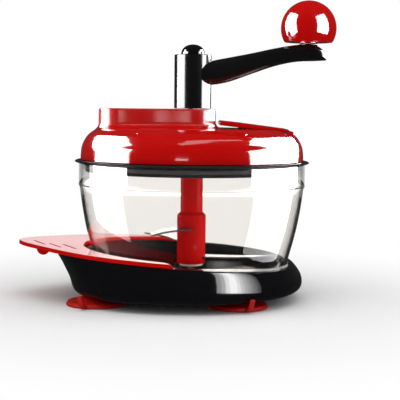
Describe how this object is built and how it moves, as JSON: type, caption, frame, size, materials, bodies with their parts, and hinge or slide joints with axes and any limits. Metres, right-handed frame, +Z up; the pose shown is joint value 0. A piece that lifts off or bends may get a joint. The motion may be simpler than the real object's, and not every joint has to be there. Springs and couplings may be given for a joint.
{
  "type": "crank food chopper",
  "caption": "Hand-cranked food chopper: a clear bowl with spinning blades, a domed gear lid with a swept crank and ball knob, on a suction base.",
  "frame": {"origin": "on the table, under the middle of the part's box; the bowl's axis is 13.4 mm to the +X side of it", "axes": "+X along the crank arm at rest, to the right of the picture; +Y away from the camera; +Z up"},
  "size_m": [0.269, 0.2, 0.2532],
  "materials": {
    "red_gloss": "glossy moulded red",
    "black_gloss": "glossy moulded black",
    "lid_plate_dark": "satin dark grey",
    "clear_bowl": "clear polished",
    "steel": "bright stainless",
    "nylon": "natural satin",
    "red_rubber": "soft satin red",
    "seal_rubber": "matte grey"
  },
  "bodies": {
    "base": {"base_housing": "black_gloss", "base_bottom_cover": "black_gloss", "lever_pin_front": "steel", "lever_pin_rear": "steel", "suction_cup_front_left": "red_rubber", "suction_cup_front_right": "red_rubber", "suction_cup_rear_left": "red_rubber", "suction_cup_rear_right": "red_rubber", "base_screw_front_left": "steel", "base_screw_front_right": "steel", "base_screw_rear_left": "steel", "base_screw_rear_right": "steel"},
    "lever": {"suction_lever": "red_gloss"},
    "yoke": {"suction_yoke": "nylon", "cup_stem_front_left": "steel", "cup_stem_front_right": "steel", "cup_stem_rear_left": "steel", "cup_stem_rear_right": "steel"},
    "bowl": {"bowl": "clear_bowl", "cutter_pin": "steel"},
    "cutter_foot": {"cutter_foot_bush": "nylon"},
    "cutter": {"cutter_hub": "red_gloss", "blade_lower": "steel", "blade_middle": "steel", "blade_upper": "steel"},
    "lid": {"lid_cover": "red_gloss", "lid_plate": "lid_plate_dark", "lid_gasket": "seal_rubber", "crank_shaft_bush": "nylon", "output_shaft_bush": "nylon", "gear_axle": "steel", "flap_hinge_pin": "steel", "lid_screw_front_left": "steel", "lid_screw_front_right": "steel", "lid_screw_rear_left": "steel", "lid_screw_rear_right": "steel"},
    "flap": {"feed_flap": "red_gloss"},
    "crank": {"crank_arm": "black_gloss", "crank_cap": "black_gloss", "crank_screw": "steel", "crank_washer": "steel", "crank_shaft": "steel", "crank_gear": "nylon", "knob_pin": "steel"},
    "knob": {"knob": "red_gloss", "knob_collar": "red_gloss"},
    "compound": {"compound_gear": "nylon"},
    "output": {"output_gear": "steel", "output_shaft": "steel"}
  },
  "joints": [
    {"name": "lever_lift", "type": "hinge", "parent": "base", "child": "lever", "pos_m": [-0.0021, 0, 0.031], "axis": [0, 1, 0], "range_deg": [0, 6.5]},
    {"name": "yoke_drop", "type": "slide", "parent": "base", "child": "yoke", "axis": [0, 0, 1], "range_m": [-0.0015, 0]},
    {"name": "bowl_lift", "type": "slide", "parent": "base", "child": "bowl", "axis": [0, 0, 1], "range_m": [0, 0.06]},
    {"name": "cutter_lift", "type": "slide", "parent": "bowl", "child": "cutter_foot", "axis": [0, 0, 1], "range_m": [0, 0.092]},
    {"name": "cutter_spin", "type": "hinge", "parent": "cutter_foot", "child": "cutter", "pos_m": [0.0134, 0, 0], "axis": [0, 0, 1], "continuous": true},
    {"name": "lid_lift", "type": "slide", "parent": "bowl", "child": "lid", "axis": [0, 0, 1], "range_m": [0, 0.184]},
    {"name": "flap_open", "type": "hinge", "parent": "lid", "child": "flap", "pos_m": [0.092, 0, 0.1426], "axis": [0, 1, 0], "range_deg": [0, 35]},
    {"name": "crank_spin", "type": "hinge", "parent": "lid", "child": "crank", "pos_m": [0.0134, 0, 0], "axis": [0, 0, 1], "continuous": true},
    {"name": "knob_spin", "type": "hinge", "parent": "crank", "child": "knob", "pos_m": [0.1111, 0, 0], "axis": [0, 0, 1], "continuous": true},
    {"name": "compound_spin", "type": "hinge", "parent": "lid", "child": "compound", "pos_m": [-0.03685, 0, 0], "axis": [0, 0, 1], "continuous": true},
    {"name": "output_spin", "type": "hinge", "parent": "lid", "child": "output", "pos_m": [0.0134, 0, 0], "axis": [0, 0, 1], "continuous": true}
  ],
  "couplings": [
    {"joint": "yoke_drop", "follows": "lever_lift", "m_per_rad": -0.01322},
    {"joint": "cutter_lift", "follows": "lid_lift", "ratio": 0.5},
    {"joint": "compound_spin", "follows": "crank_spin", "ratio": -1.68},
    {"joint": "output_spin", "follows": "crank_spin", "ratio": 3.4364},
    {"joint": "cutter_spin", "follows": "crank_spin", "ratio": 3.4364}
  ]
}
